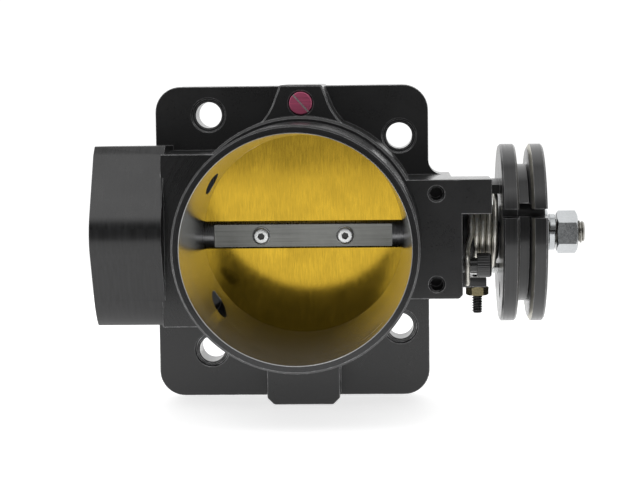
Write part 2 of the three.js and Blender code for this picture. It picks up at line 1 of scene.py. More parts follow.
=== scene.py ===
"""The looks of a cable-driven throttle body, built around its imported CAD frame.

Shapes are made in millimetres round the point where the shaft crosses the bore: X runs along the shaft
to the pulley, Y along the bore to the manifold, and Z is up. settle() moves each one into the row frame.
"""
import json
import math

import bmesh
import bpy
from mathutils import Matrix, Vector


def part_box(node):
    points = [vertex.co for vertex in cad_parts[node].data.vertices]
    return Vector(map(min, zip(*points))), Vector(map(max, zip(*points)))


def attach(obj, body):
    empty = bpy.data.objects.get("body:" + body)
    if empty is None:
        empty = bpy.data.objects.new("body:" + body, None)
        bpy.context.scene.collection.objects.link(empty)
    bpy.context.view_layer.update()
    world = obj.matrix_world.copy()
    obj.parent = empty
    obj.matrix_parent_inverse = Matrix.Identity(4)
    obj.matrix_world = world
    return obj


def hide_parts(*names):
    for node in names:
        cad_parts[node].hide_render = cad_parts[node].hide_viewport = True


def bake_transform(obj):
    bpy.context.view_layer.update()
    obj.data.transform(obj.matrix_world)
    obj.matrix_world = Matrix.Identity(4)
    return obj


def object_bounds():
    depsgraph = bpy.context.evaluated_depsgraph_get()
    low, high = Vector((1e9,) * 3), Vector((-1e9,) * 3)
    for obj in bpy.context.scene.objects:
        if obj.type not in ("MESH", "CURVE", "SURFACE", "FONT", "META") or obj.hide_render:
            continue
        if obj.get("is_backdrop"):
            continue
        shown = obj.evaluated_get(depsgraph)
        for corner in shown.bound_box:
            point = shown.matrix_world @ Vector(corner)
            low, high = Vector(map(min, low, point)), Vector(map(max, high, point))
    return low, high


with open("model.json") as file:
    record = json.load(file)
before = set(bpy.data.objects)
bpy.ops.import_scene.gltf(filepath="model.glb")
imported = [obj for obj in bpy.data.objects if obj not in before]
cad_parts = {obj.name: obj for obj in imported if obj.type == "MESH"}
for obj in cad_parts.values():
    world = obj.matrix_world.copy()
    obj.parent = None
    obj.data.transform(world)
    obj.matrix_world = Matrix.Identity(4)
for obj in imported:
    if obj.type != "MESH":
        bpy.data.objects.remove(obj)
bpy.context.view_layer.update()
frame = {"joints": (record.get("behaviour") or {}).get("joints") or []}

scene = bpy.context.scene
MM = 0.001
CENTRE = Vector(frame["joints"][0]["pos_m"])


def mm_box(node):
    """The lowest and highest corner of a CAD node, in millimetres round the shaft centre."""
    low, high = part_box(node)
    return (low - CENTRE) / MM, (high - CENTRE) / MM


# ---- sizes that the frame gives ----
body_low, body_high = mm_box("main_body")
shaft_low, shaft_high = mm_box("throttle_shaft")
pulley_low, pulley_high = mm_box("cable_pulley")
LIP_Y, BACK_Y = body_low.y, body_high.y

# ---- sizes that the design repeats, mm ----
GAP = 0.3
EDGE = 0.4                       # chamfer on a machined edge
BORE_R, INLET_R, TAPER_END_Y = 35, 37.5, -6
BARREL_R, COLLAR_R, FACE_Y = 40.2, 42, -25.7
FLANGE = {"left": -52.5, "right": 44.2, "bottom": -58.5, "top": 52, "front": 7, "corner": 9}
BOLTS = [(-33.6, 41.9), (33.9, 34), (33.9, -34), (-33.6, -41.9)]
DRUM = {"left": body_low.x, "right": -46.3, "top": 32.2, "bottom": -29.7, "back": 17, "back_top": 31}
NOSE = {"centre": (-20.5, 2), "r": 14.5, "upper_slope": 31, "lower_slope": 24.5}
LEFT_BLOCK_Z = 29.5
PORT_END = -33
DRILLED = [(-30.1, 19.3), (-28.3, -21.8)]   # where drillings slant from the bore to the two ports
BLOCK = {"right": 55, "bottom": -20.4, "top": 20.2, "ear": 52}
ARM = {"right": body_high.x, "bottom": 8.4, "back": -7}
BOSS = {"x": 0.4, "z": 46.3, "half": 7.6, "top": body_high.z, "front": -20}
TAB = {"left": -13.3, "right": 12.4, "front": -5, "corner": 2.4}
SHAFT_R, JOURNAL_R, FLAT_Y, FLAT_END = 5, 4, 3.1, 31.2
BLADE_T, TILT, BLADE_SCREW_X = 1.8, 5, 14.7
BEARINGS = {"left": -61.7, "right": 50}     # the middle of each ball bearing
BEARING = {"outer": 11, "inner": 4.3, "half": 3.5, "outer_track": 8.6, "inner_track": 6.6, "pitch": 7.6, "ball": 1.6,
           "track_depth": 0.96}
DRIVE_HALF = 3.5                 # half across the flats in the pulley that drive the shaft
PULLEY = {"left": 68.46, "groove": (73.9, 78.2), "right": 83.5, "r": 31, "floor": 24}
SLOT = {"z": 8.7, "half": 1.5, "end": -21.5}
SPRING = {"mean": 11.4, "wire": 0.95, "start": 58.3, "end": 67.2, "turns": 4.25, "rise": 3.2}
STOP_PIN = {"orbit": 14.85, "angle": -62}
IDLE = {"x": 61.2, "y": 7}
STOP_BOSS = {"right": 64.2, "front": 0, "back": 14, "top": -15.9, "bottom": -19.4}
SHELF = {"right": 58.2, "top": -13}
ANCHOR = {"y": -15.5, "z": -9.9}
CAMERA = {"lens": 109.98, "sensor": 36, "at": (31.467, -685.58, 58.67)}
CAMERA_TURNS = [(0.0375, "Z"), (-0.0885, "X"), (0.0115, "Y"), (math.pi / 2, "X")]   # pan, tilt, roll, look ahead


# ---- meshes ----
def new_object(name, bm):
    bmesh.ops.recalc_face_normals(bm, faces=bm.faces)
    mesh = bpy.data.meshes.new(name)
    bm.to_mesh(mesh)
    bm.free()
    obj = bpy.data.objects.new(name, mesh)
    scene.collection.objects.link(obj)
    return obj


def around(radius, degrees):
    angle = math.radians(degrees)
    return radius * math.cos(angle), radius * math.sin(angle)


def on_axis(axis, station, a, b):
    """A point at that station on an axis, a and b away from it along the other two axes in order."""
    if axis == "x":
        return station, a, b
    if axis == "y":
        return a, station, b
    return a, b, station


def skin(bm, rings):
    """Faces between each ring of vertices and the next."""
    for one, two in zip(rings, rings[1:]):
        count = len(one)
        for i in range(count):
            j = (i + 1) % count
            bm.faces.new([one[i], one[j], two[j], two[i]])


def lathe(profile, axis="x", at=(0, 0), segments=96, ripple=0.0):
    """A body turned about an axis from (radius, station) points. A profile off the axis closes on itself.
    ripple takes that much off every other vertex of the widest rings, as a straight knurl."""
    bm = bmesh.new()
    widest = max(r for r, _ in profile)
    rings = []
    for r, station in profile:
        if r == 0:
            rings.append([bm.verts.new(on_axis(axis, station, *at))])
            continue
        ring = []
        for i in range(segments):
            depth = ripple if i % 2 and r == widest else 0
            u, v = around(r - depth, 360 * i / segments)
            ring.append(bm.verts.new(on_axis(axis, station, at[0] + u, at[1] + v)))
        rings.append(ring)
    pairs = list(zip(rings, rings[1:]))
    if profile[0][0] > 0:
        pairs.append((rings[-1], rings[0]))
    for one, two in pairs:
        for i in range(segments):
            j = (i + 1) % segments
            corners = [one[i % len(one)], one[j % len(one)], two[j % len(two)], two[i % len(two)]]
            corners = list(dict.fromkeys(corners))
            if len(corners) > 2:
                bm.faces.new(corners)
    return new_object("turned", bm)


def prism(outline, axis, start, end, chamfer=EDGE, rounds=2):
    """An outline carried along an axis, with its sharp edges broken."""
    bm = bmesh.new()
    base = bm.faces.new([bm.verts.new(on_axis(axis, start, a, b)) for a, b in outline])
    moved = bmesh.ops.extrude_face_region(bm, geom=[base])["geom"]
    shift = Vector(on_axis(axis, end - start, 0, 0))
    bmesh.ops.translate(bm, vec=shift, verts=[v for v in moved if isinstance(v, bmesh.types.BMVert)])
    bmesh.ops.recalc_face_normals(bm, faces=bm.faces)
    if chamfer:
        sharp = [e for e in bm.edges if e.calc_face_angle(0) > math.radians(25)]
        bmesh.ops.bevel(bm, geom=sharp, offset=chamfer, segments=rounds, profile=0.5, affect="EDGES",
                        clamp_overlap=True)
    return new_object("prism", bm)


def block(low, high, chamfer=EDGE):
    outline = [(low[0], low[2]), (high[0], low[2]), (high[0], high[2]), (low[0], high[2])]
    return prism(outline, "y", low[1], high[1], chamfer)


def arc(centre, r, start, end, steps=12):
    """Points along an arc, both ends included, in degrees."""
    points = [around(r, start + (end - start) * i / steps) for i in range(steps + 1)]
    return [(centre[0] + u, centre[1] + v) for u, v in points]


def rounded_outline(left, right, bottom, top, r):
    return [
        *arc((right - r, bottom + r), r, -90, 0),
        *arc((right - r, top - r), r, 0, 90),
        *arc((left + r, top - r), r, 90, 180),
        *arc((left + r, bottom + r), r, 180, 270),
    ]


def bar(axis, r, start, end, at=(0, 0), segments=48):
    return lathe([(0, start), (r, start), (r, end), (0, end)], axis, at, segments)


def hole(axis, r, mouth, bottom, at, spread=0.35, segments=48):
    """A cutter for a hole whose mouth is broken by a small countersink."""
    side = 1 if bottom > mouth else -1
    return lathe([
        (0, mouth - side), (r + spread, mouth - side), (r + spread, mouth), (r, mouth + side * spread),
        (r, bottom), (0, bottom),
    ], axis, at, segments)


def replace_mesh(obj):
    graph = bpy.context.evaluated_depsgraph_get()
    made = bpy.data.meshes.new_from_object(obj.evaluated_get(graph))
    obj.modifiers.clear()
    obj.data = made


def combine(target, tools, operation):
    for tool in tools:
        modifier = target.modifiers.new("combine", "BOOLEAN")
        modifier.operation = operation
        modifier.solver = "MANIFOLD"
        modifier.object = tool
        replace_mesh(target)
        bpy.data.objects.remove(tool)
    return target


def unite(first, *others):
    return combine(first, others, "UNION")


def cut(target, *tools):
    return combine(target, tools, "DIFFERENCE")


def keep_inside(target, tool):
    return combine(target, [tool], "INTERSECT")


def turn(obj, degrees, axis="X"):
    obj.data.transform(Matrix.Rotation(math.radians(degrees), 4, axis))
    return obj


def shift(obj, *offset):
    obj.data.transform(Matrix.Translation(offset))
    return obj


def hex_bar(axis, across_flats, start, end, at=(0, 0), turned=0):
    corner = across_flats / math.sqrt(3)
    outline = [around(corner, turned + 60 * i) for i in range(6)]
    return prism([(at[0] + a, at[1] + b) for a, b in outline], axis, start, end, 0)


def hex_nut(axis, across_flats, start, end, at, hole_r, turned=0):
    """A hexagon with its corners turned off at both ends, and a chamfered hole."""
    flat, corner = across_flats / 2, across_flats / math.sqrt(3)
    bevel = (corner - flat) * 0.75
    limit = lathe([
        (0, start), (flat * 0.96, start), (corner + 0.1, start + bevel), (corner + 0.1, end - bevel),
        (flat * 0.96, end), (0, end),
    ], axis, at, 96)
    middle = (start + end) / 2
    nut = keep_inside(hex_bar(axis, across_flats, start, end, at, turned), limit)
    return cut(nut, hole(axis, hole_r, start, middle + 0.5, at, 0.5), hole(axis, hole_r, end, middle - 0.5, at, 0.5))


def threaded(axis, r, pitch, start, end, at=(0, 0), lead=0.7):
    """A right-handed threaded rod, tapered at both ends. Each row of vertices is a ring across the axis."""
    around_steps, per_turn = 40, 10
    depth, flank = 0.6 * pitch, 0.42
    rows = round((end - start) / pitch * per_turn)
    bm = bmesh.new()
    rings = []
    for i in range(rows + 1):
        station = start + (end - start) * i / rows
        near_end = min(station - start, end - station)
        ring = []
        for j in range(around_steps):
            phase = (station / pitch - j / around_steps) % 1
            groove = max(0, 1 - abs(phase - 0.5) / flank)
            reach = min(r - depth * groove, r - depth + near_end * (depth / lead))
            u, v = around(reach, 360 * j / around_steps)
            ring.append(bm.verts.new(on_axis(axis, station, at[0] + u, at[1] + v)))
        rings.append(ring)
    skin(bm, rings)
    bm.faces.new(rings[0])
    bm.faces.new(rings[-1])
    return new_object("thread", bm)


def spline(points, steps):
    """A smooth line through control points (centripetal Catmull-Rom), with that many steps between them."""
    line = [Vector(p) for p in points]
    ends = [line[0] * 2 - line[1], *line, line[-1] * 2 - line[-2]]
    out = []
    for p0, p1, p2, p3 in zip(ends, ends[1:], ends[2:], ends[3:]):
        t0 = 0
        t1 = t0 + max((p1 - p0).length, 1e-4) ** 0.5
        t2 = t1 + max((p2 - p1).length, 1e-4) ** 0.5
        t3 = t2 + max((p3 - p2).length, 1e-4) ** 0.5
        for i in range(steps):
            t = t1 + (t2 - t1) * i / steps
            a1 = p0 * ((t1 - t) / (t1 - t0)) + p1 * ((t - t0) / (t1 - t0))
            a2 = p1 * ((t2 - t) / (t2 - t1)) + p2 * ((t - t1) / (t2 - t1))
            a3 = p2 * ((t3 - t) / (t3 - t2)) + p3 * ((t - t2) / (t3 - t2))
            b1 = a1 * ((t2 - t) / (t2 - t0)) + a2 * ((t - t0) / (t2 - t0))
            b2 = a2 * ((t3 - t) / (t3 - t1)) + a3 * ((t - t1) / (t3 - t1))
            out.append(b1 * ((t2 - t) / (t2 - t1)) + b2 * ((t - t1) / (t2 - t1)))
    return [*out, line[-1]]


def wire(line, r, sides=20):
    """A round wire along a line of points, with domed ends."""
    bm = bmesh.new()
    rings = []
    across = None
    count = len(line)
    for i, point in enumerate(line):
        along = (line[min(i + 1, count - 1)] - line[max(i - 1, 0)]).normalized()
        if across is None:
            across = along.orthogonal().normalized()
        across = (across - along * across.dot(along)).normalized()
        other = along.cross(across)
        rings.append([
            bm.verts.new(point + across * u + other * v)
            for u, v in (around(r, 360 * j / sides) for j in range(sides))
        ])
    skin(bm, rings)
    for ring, neighbour in ((rings[0], line[1]), (rings[-1], line[-2])):
        end = sum((v.co for v in ring), Vector()) / sides
        tip = bm.verts.new(end + (end - neighbour).normalized() * r * 0.5)
        for i in range(sides):
            bm.faces.new([ring[i], ring[(i + 1) % sides], tip])
    return new_object("wire", bm)


# ---- finishing a piece ----
def settle(obj, name, body, materials, nodes, smooth=32, choose=None):
    """Moves a finished shape into the row frame, gives it its materials and its body, and hides the CAD nodes it
    stands for.
    choose picks one of the materials for a face from its centre and normal, both in millimetres round the shaft."""
    obj.name = name
    obj.data.name = name
    obj.data.materials.clear()
    for material in materials:
        obj.data.materials.append(material)
    for face in obj.data.polygons:
        face.use_smooth = True
        face.material_index = materials.index(choose(face.center, face.normal)) if choose else 0
    obj.data.transform(Matrix.Translation(CENTRE) @ Matrix.Scale(MM, 4))
    obj.data.set_sharp_from_angle(angle=math.radians(smooth))
    weighted = obj.modifiers.new("weighted", "WEIGHTED_NORMAL")
    weighted.keep_sharp = True
    weighted.weight = 80
    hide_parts(*nodes)
    if body:
        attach(obj, body)
    return obj


# ---- materials ----
def new_material(name):
    material = bpy.data.materials.new(name)
    material.use_nodes = True
    return material


class Nodes:
    """A short way to lay out the nodes of one material or world."""

    def __init__(self, tree):
        self.tree = tree
        self.shader = tree.nodes.get("Principled BSDF")

    def add(self, kind, inputs=(), **settings):
        node = self.tree.nodes.new(kind)
        for key, value in settings.items():
            setattr(node, key, value)
        for key, value in dict(inputs).items():
            self.feed(node.inputs[key], value)
        return node

    def feed(self, socket, value):
        if isinstance(value, bpy.types.NodeSocket):
            self.tree.links.new(value, socket)
        else:
            socket.default_value = value

    def maths(self, operation, *values):
        return self.add("ShaderNodeMath", dict(enumerate(values)), operation=operation).outputs[0]

    def vector(self, operation, *values):
        return self.add("ShaderNodeVectorMath", dict(enumerate(values)), operation=operation).outputs[0]

    def noise(self, vector, scale, detail=2.0, roughness=0.5):
        inputs = {"Vector": vector, "Scale": scale, "Detail": detail, "Roughness": roughness}
        return self.add("ShaderNodeTexNoise", inputs).outputs[0]

    def spread(self, value, low, high, to_low, to_high):
        inputs = {0: value, 1: low, 2: high, 3: to_low, 4: to_high}
        return self.add("ShaderNodeMapRange", inputs).outputs[0]


def tool_marks(nodes, kind, fine):
    """Coordinates in which plain noise looks like the marks of one machining cut. fine is marks per metre."""
    place = nodes.add("ShaderNodeTexCoord").outputs["Object"]
    local = nodes.vector("SUBTRACT", place, tuple(CENTRE))
    if kind == "cast":
        return nodes.vector("MULTIPLY", local, (fine, fine, fine))
    if kind == "along_z":
        return nodes.vector("MULTIPLY", local, (fine, fine, fine * 0.02))
    if kind == "along_x":
        return nodes.vector("MULTIPLY", local, (fine * 0.02, fine, fine))
    split = nodes.add("ShaderNodeSeparateXYZ", {0: local})
    station = split.outputs["X" if kind == "turned_x" else "Y"]
    flat = (0, 1, 1) if kind == "turned_x" else (1, 0, 1)
    across = nodes.vector("MULTIPLY", local, flat)
    radius = nodes.add("ShaderNodeVectorMath", {0: across}, operation="LENGTH").outputs["Value"]
    slow = nodes.vector("MULTIPLY", local, (6, 6, 6))
    joined = nodes.add("ShaderNodeCombineXYZ", {
        0: nodes.maths("MULTIPLY", station, fine), 1: nodes.maths("MULTIPLY", radius, fine),
    }).outputs[0]
    return nodes.vector("ADD", joined, slow)


def metal(name, colour, roughness, metallic=1.0, marks="cast", fine=900, depth=0.02, vary=0.15,
          cloud=0.12, edge=None, coat=0.0, coat_roughness=0.1, specular=0.5):
    """A machined surface: tool marks in bump, roughness and colour, slow clouding, and brighter edges, partly worn
    bare metal and partly a painted highlight.
    fine is marks per metre, depth is in millimetres, vary and cloud are shares of the colour, and edge is the
    brightened edge's width in millimetres, its colour and its strength."""
    material = new_material(name)
    nodes = Nodes(material.node_tree)
    grain = nodes.noise(tool_marks(nodes, marks, fine), 1.0, 3.0, 0.65)
    place = nodes.add("ShaderNodeTexCoord").outputs["Object"]
    clouds = nodes.noise(place, 90.0, 3.0, 0.55)
    tone = nodes.maths("MULTIPLY", nodes.spread(grain, 0.3, 0.7, 1 - vary, 1 + vary),
                       nodes.spread(clouds, 0.3, 0.7, 1 - cloud, 1 + cloud))
    tinted = nodes.add("ShaderNodeVectorMath", {0: tuple(colour), "Scale": tone}, operation="SCALE").outputs[0]
    rough = nodes.maths("ADD", nodes.spread(grain, 0.3, 0.7, roughness * 0.85, roughness * 1.15),
                        nodes.spread(clouds, 0.3, 0.7, -roughness * 0.1, roughness * 0.1))
    bump = nodes.add("ShaderNodeBump", {"Height": grain, "Strength": 1.0, "Distance": depth * MM})
    shader = nodes.shader
    # Edges turn towards the edge colour: partly worn bare metal, partly a painted highlight.
    if edge:
        width, edge_colour, strength = edge
        rounded = nodes.add("ShaderNodeBevel", {"Radius": width * MM}, samples=6).outputs[0]
        plain = nodes.add("ShaderNodeNewGeometry").outputs["Normal"]
        same = nodes.add("ShaderNodeVectorMath", {0: rounded, 1: plain}, operation="DOT_PRODUCT").outputs["Value"]
        wear_and_glint = nodes.spread(same, 0.995, 0.90, 0.0, strength)
        patchy = nodes.spread(nodes.noise(place, 420.0, 3.0), 0.35, 0.6, 0.35, 1.0)
        share = nodes.maths("MULTIPLY", wear_and_glint, patchy)
        mixed = nodes.add("ShaderNodeMix", data_type="RGBA")
        nodes.feed(mixed.inputs[0], share)
        nodes.feed(mixed.inputs[6], tinted)
        nodes.feed(mixed.inputs[7], (*edge_colour, 1))
        tinted = mixed.outputs[2]
        if metallic < 1:
            nodes.feed(shader.inputs["Metallic"], nodes.maths("MAXIMUM", share, metallic))
        rough = nodes.maths("SUBTRACT", rough, nodes.maths("MULTIPLY", share, 0.1))
    if not edge or metallic == 1:
        shader.inputs["Metallic"].default_value = metallic
    shader.inputs["Specular IOR Level"].default_value = specular
    shader.inputs["Coat Weight"].default_value = coat
    shader.inputs["Coat Roughness"].default_value = coat_roughness
    nodes.feed(shader.inputs["Base Color"], tinted)
    nodes.feed(shader.inputs["Roughness"], rough)
    nodes.feed(shader.inputs["Normal"], bump.outputs[0])
    return material


# Colour mixed into machined edges: partly worn bare metal, partly a painted highlight.
EDGE_WEAR_AND_GLINT = (0.62, 0.62, 0.63)
black_milled = metal("black_milled", (0.016, 0.016, 0.0165), 0.32, 0.0, "cast", 1500, 0.005, 0.1, 0.15,
                     (0.42, EDGE_WEAR_AND_GLINT, 1.0), coat=0.38, specular=0.4)
black_turned_x = metal("black_turned_x", (0.0085, 0.0085, 0.009), 0.33, 0.0, "turned_x", 900, 0.02, 0.6, 0.1,
                       (0.3, EDGE_WEAR_AND_GLINT, 0.6), coat=0.15, coat_roughness=0.2)
black_scored = metal("black_scored", (0.0085, 0.0085, 0.009), 0.31, 0.0, "turned_x", 1100, 0.045, 0.9, 0.1,
                     (0.3, EDGE_WEAR_AND_GLINT, 0.6), coat=0.15, coat_roughness=0.2)
black_turned_y = metal("black_turned_y", (0.005, 0.005, 0.0055), 0.28, 0.0, "turned_y", 1300, 0.005, 0.2, 0.1,
                       (0.3, EDGE_WEAR_AND_GLINT, 0.9), coat=0.4)
pulley_black = metal("pulley_black", (0.009, 0.009, 0.0095), 0.36, 0.0, "turned_x", 1500, 0.018, 0.5, 0.12,
                     (0.25, EDGE_WEAR_AND_GLINT, 0.8), coat=0.4, coat_roughness=0.12)
# A pale cream metal for the pulley's groove bevel: a painted reflection, not the pulley's own colour.
painted_rim_reflection = metal("painted_rim_reflection", (0.55, 0.53, 0.46), 0.4, 0.9, "turned_x", 1500, 0.01, 0.2, 0.2)
bore_metal = metal("bore_metal", (0.37, 0.375, 0.38), 0.22, 0.75, "turned_y", 1500, 0.005, 0.08, 0.06)
bare_edge = metal("bare_edge", (0.42, 0.42, 0.42), 0.25, 1.0, "turned_y", 1500, 0.003, 0.05, 0.05)
brass = metal("brass", (0.475, 0.305, 0.029), 0.12, 1.0, "along_z", 2600, 0.0025, 0.16, 0.12)
ground_steel = metal("ground_steel", (0.24, 0.243, 0.23), 0.34, 1.0, "along_x", 1800, 0.012, 0.3, 0.2,
                     (0.2, (0.5, 0.5, 0.5), 0.5))
turned_steel = metal("turned_steel", (0.28, 0.28, 0.285), 0.28, 1.0, "turned_x", 1600, 0.008, 0.15, 0.1)
bright_steel = metal("bright_steel", (0.88, 0.89, 0.88), 0.28, 0.8, "cast", 2200, 0.004, 0.12, 0.1,
                     (0.12, (0.8, 0.8, 0.8), 0.5))
# Near-black steel for the inside of a hex socket: painted shade in the recess.
socket_shade = metal("socket_shade", (0.06, 0.06, 0.058), 0.3, 1.0, "cast", 2600, 0.006, 0.3, 0.2)
bearing_steel = metal("bearing_steel", (0.55, 0.55, 0.56), 0.14, 1.0, "turned_x", 2200, 0.002, 0.08, 0.05)
zinc = metal("zinc", (0.49, 0.505, 0.515), 0.19, 1.0, "cast", 1300, 0.003, 0.06, 0.08,
             (0.25, (0.8, 0.82, 0.83), 0.6))
stub_steel = metal("stub_steel", (0.40, 0.39, 0.36), 0.32, 1.0, "cast", 1800, 0.01, 0.15, 0.12)
spring_wire = metal("spring_wire", (0.95, 0.92, 0.84), 0.42, 1.0, "cast", 1300, 0.006, 0.12, 0.18)
yellow_zinc = metal("yellow_zinc", (0.25, 0.215, 0.125), 0.28, 1.0, "cast", 1500, 0.01, 0.2, 0.25,
                    (0.2, (0.6, 0.55, 0.35), 0.5))
black_oxide = metal("black_oxide", (0.012, 0.012, 0.012), 0.32, 0.0, "cast", 1800, 0.008, 0.2, 0.2,
                    (0.2, EDGE_WEAR_AND_GLINT, 0.35), coat=0.4)
nylon = metal("nylon", (0.018, 0.018, 0.019), 0.5, 0.0, "turned_x", 900, 0.01, 0.1, 0.1)
rubber = metal("rubber", (0.012, 0.012, 0.012), 0.7, 0.0, "cast", 2500, 0.02, 0.1, 0.1)
rose = metal("rose", (0.66, 0.13, 0.25), 0.42, 0.5, "along_x", 1300, 0.015, 0.25, 0.12,
             (0.15, (0.7, 0.3, 0.4), 0.8))


# ---- the billet body ----
def barrel():
    return lathe([
        (0, LIP_Y), (BARREL_R - 0.6, LIP_Y), (BARREL_R, LIP_Y + 0.6), (BARREL_R, FACE_Y), (COLLAR_R - 0.8, FACE_Y),
        (COLLAR_R, FACE_Y + 0.8), (COLLAR_R, BACK_Y - 1), (0, BACK_Y - 1),
    ], "y", segments=224)


def curve(a, b, c, steps=10):
    """A quadratic curve from a to c that leans towards b."""
    points = []
    for i in range(steps + 1):
        t = i / steps
        points.append(tuple(p * (1 - t) ** 2 + 2 * q * t * (1 - t) + s * t * t for p, q, s in zip(a, b, c)))
    return points


def drum():
    """A round nose that runs out into a flat slope above and below; the top falls slightly to the back."""
    back, bottom = DRUM["back"], DRUM["bottom"]
    nose = arc(NOSE["centre"], NOSE["r"], 180 - NOSE["upper_slope"], 180 + NOSE["lower_slope"], 32)
    toe = curve((-26.2, -19.6), (-22.5, -26.5), (-17.5, bottom))
    outline = [(back, bottom), (back, DRUM["back_top"]), (-17.5, DRUM["top"]), (-21.2, 29.3), *nose, *toe]
    return prism(outline, "x", DRUM["left"], DRUM["right"], 0.3)


def boss():
    x, half, top = BOSS["x"], BOSS["half"], BOSS["top"]
    corner, foot = 1.2, (14.5, 39)
    right = [
        *curve((x + foot[0], foot[1]), (x + 10.4, 43), (x + half + 1.3, top - 4.5)),
        *curve((x + half, top - corner), (x + half, top), (x + half - corner, top), 5),
    ]
    left = [(2 * x - a, b) for a, b in reversed(right)]
    return prism([*right, *left], "y", BOSS["front"], BACK_Y, 0.7, 1)


def fillet_post(x, z, r, side, way):
    """The concave round in the corner between the flange's edge and the right-hand block."""
    xs, zs = sorted((x - side * 1.5, x + side * r)), sorted((z - way * 1.5, z + way * r))
    post = block((xs[0], FLANGE["front"], zs[0]), (xs[1], BACK_Y, zs[1]), 0)
    return cut(post, bar("y", r, FLANGE["front"] - 1, BACK_Y + 1, (x + side * r, z + way * r), 96))


def right_block():
    right, bottom, top, ear = BLOCK["right"], BLOCK["bottom"], BLOCK["top"], BLOCK["ear"]
    nose = [(20, bottom), (right - 1.2, bottom), (right, bottom + 1.2), (right, top), (20, top)]
    arm = block((right - 2, FACE_Y, ARM["bottom"]), (ARM["right"], ARM["back"], top))
    spring_room = SPRING["mean"] + SPRING["wire"] + 1.2
    arm = cut(arm, bar("x", spring_room, right, ARM["right"] + 1, segments=128))
    return [
        prism(nose, "y", FACE_Y, ARM["back"]),
        block((20, ARM["back"] - 1, bottom), (ear, BACK_Y, top)),
        block((40, ARM["back"] - 1, bottom + 0.5), (right, STOP_BOSS["back"] + 3, 17)),
        arm,
        fillet_post(FLANGE["right"], top, 5, 1, 1),
        fillet_post(FLANGE["right"], bottom, 3, 1, -1),
        block((right - 3, STOP_BOSS["front"], STOP_BOSS["bottom"]),
              (STOP_BOSS["right"], STOP_BOSS["back"], STOP_BOSS["top"])),
        block((right - 3, STOP_BOSS["front"], STOP_BOSS["bottom"] + 1),
              (SHELF["right"], STOP_BOSS["back"], SHELF["top"])),
        block((right - 3, 11, 8.3), (63, STOP_BOSS["back"] + 2.5, 16)),
    ]


def bore_cutter():
    return lathe([
        (0, LIP_Y - 1), (INLET_R + 0.2, LIP_Y - 1), (INLET_R + 0.2, LIP_Y), (INLET_R, LIP_Y + 0.2),
        (BORE_R, TAPER_END_Y), (BORE_R, BACK_Y - 0.4), (BORE_R + 0.4, BACK_Y), (BORE_R + 0.4, BACK_Y + 1),
        (0, BACK_Y + 1),
    ], "y", segments=256)


def bolt_cutters():
    front = FLANGE["front"]
    return [
        lathe([
            (0, front - 1), (6.2, front - 1), (6.2, front), (5.8, front + 0.4), (5.8, front + 1.2),
            (5.0, front + 1.2), (4.6, front + 1.6), (4.6, BACK_Y - 0.5), (5.1, BACK_Y), (5.1, BACK_Y + 1),
            (0, BACK_Y + 1),
        ], "y", at, 64)
        for at in BOLTS
    ]


def shaft_line_cutters():
    recess_floor = DRUM["left"] + 4
    left, right = BEARINGS["left"], BEARINGS["right"]
    half = BEARING["half"]
    return [
        bar("x", SHAFT_R + GAP, DRUM["left"] - 1, BLOCK["right"] + 1),
        hole("x", 15, DRUM["left"], recess_floor, (0, 0), 0.5, 96),
        bar("x", 11.3, recess_floor - 1, left + half + GAP, segments=96),
        bar("x", 8.3, left, left + half + 3 + 3 * GAP, segments=64),
        hole("x", 11.3, BLOCK["right"], right - half - GAP, (0, 0), 0.4, 96),
        bar("x", 8.3, right - half - 3 - 3 * GAP, right, segments=64),
    ]


def small_cutters():
    left = DRUM["left"]
    adapter = [(9, 25), (9, -25), (-24.5, 6), (12, -14), (12, 14)]
    drillings = [shift(turn(bar("y", 3.8, -25, 8, segments=64), 25, "Z"), x, -23, z) for x, z in DRILLED]
    return [
        *drillings,
        hole("x", 3.6, left, PORT_END, (-18, 19.5), 0.4),
        hole("x", 4.1, left, PORT_END, (-18, -22.3), 0.4),
        *[hole("x", 1.7, left, left + 9, at, 0.4) for at in adapter],
        *[hole("y", 2.2, FACE_Y, FACE_Y + 14, (46.2, z), 0.7) for z in (15.4, -15.4)],
        hole("y", 4.15, BOSS["front"], -3.5, (BOSS["x"], BOSS["z"]), 0.25, 64),
        bar("z", 2, BORE_R - 2, BOSS["z"], (BOSS["x"], -6.5)),
        hole("x", 2.8, BLOCK["right"], 43, (ANCHOR["y"], ANCHOR["z"])),
        bar("z", 2.2, STOP_BOSS["bottom"] - 1, STOP_BOSS["top"] + 1, (IDLE["x"], IDLE["y"])),
    ]


def body_surface(centre, normal):
    """Which of the body's materials a face has, from where it is and which way it looks."""
    radius = math.hypot(centre.x, centre.z)
    if BORE_R - 0.6 < radius < INLET_R + 0.6:
        inward = -(normal.x * centre.x + normal.z * centre.z) / radius
        if centre.y < LIP_Y + 0.21 and inward > 0.3:
            return bare_edge
        if inward > 0.9 and abs(normal.y) < 0.2:
            return bore_metal
    outward = centre.y * normal.y + centre.z * normal.z
    if centre.x < DRUM["right"] and math.hypot(centre.y, centre.z) > 29 and outward > 10:
        return black_scored if normal.z > 0.2 else black_turned_x
    if BARREL_R - 3 < radius < COLLAR_R + 0.5 and centre.y < FACE_Y + 1:
        return black_turned_y
    return black_milled


